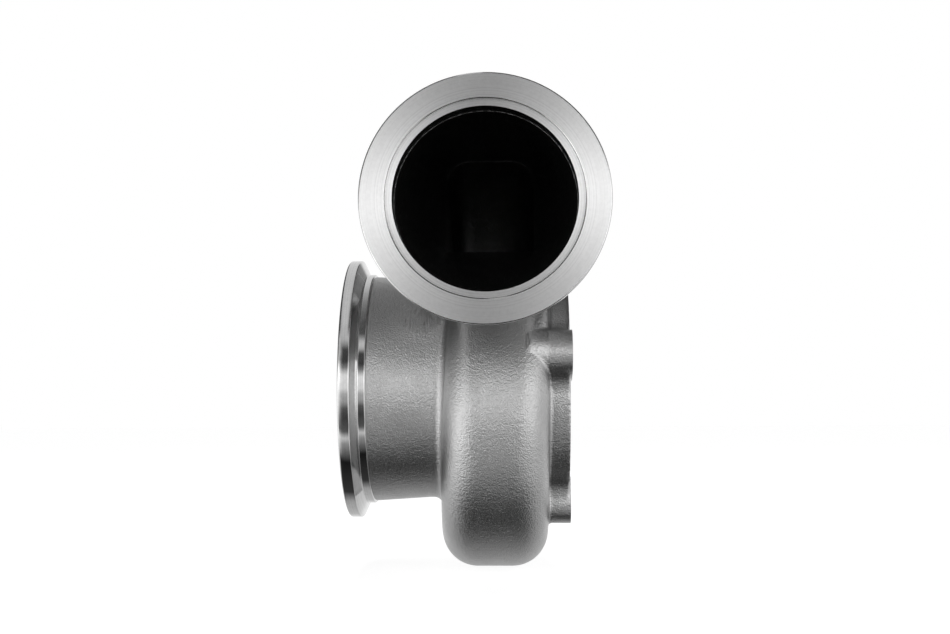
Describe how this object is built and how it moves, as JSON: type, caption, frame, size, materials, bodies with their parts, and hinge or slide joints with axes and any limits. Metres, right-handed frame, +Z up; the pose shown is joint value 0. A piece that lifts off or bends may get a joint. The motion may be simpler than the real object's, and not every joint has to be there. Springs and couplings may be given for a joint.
{
  "type": "turbine housing",
  "caption": "Bare cast steel turbine housing: spiral scroll with a clamp-flanged tangential inlet, a clamp-flanged axial outlet and a scalloped bearing housing flange.",
  "frame": {"origin": "on the turbine axis, in the plane of the boss faces that the bearing housing bolts to", "axes": "+X along the turbine axis out of the bearing housing side, outlet faces -X, inlet faces -Y, +Z up from the axis towards the inlet"},
  "size_m": [0.0889, 0.1553, 0.1595],
  "materials": {
    "cast_steel": "investment cast stainless steel, shot blasted, fine grain, matte",
    "machined_steel": "turned stainless steel, fine concentric tool marks, bright",
    "bored_steel": "bored stainless steel, satin"
  },
  "bodies": {
    "root": {"inlet_flange": "machined_steel", "inlet_duct": "cast_steel", "scroll_throat": "cast_steel", "scroll_upper_back": "cast_steel", "scroll_back": "cast_steel", "scroll_lower_back": "cast_steel", "scroll_bottom": "cast_steel", "scroll_lower_front": "cast_steel", "scroll_front": "cast_steel", "scroll_upper_front": "cast_steel", "tongue": "cast_steel", "wheel_shroud": "bored_steel", "diffuser_ring": "cast_steel", "outlet_cone": "cast_steel", "outlet_flange": "machined_steel", "heat_shield_seat": "bored_steel", "bearing_flange": "cast_steel", "front_boss": "cast_steel", "bottom_boss": "cast_steel", "back_boss": "cast_steel", "top_boss": "cast_steel"}
  },
  "joints": []
}
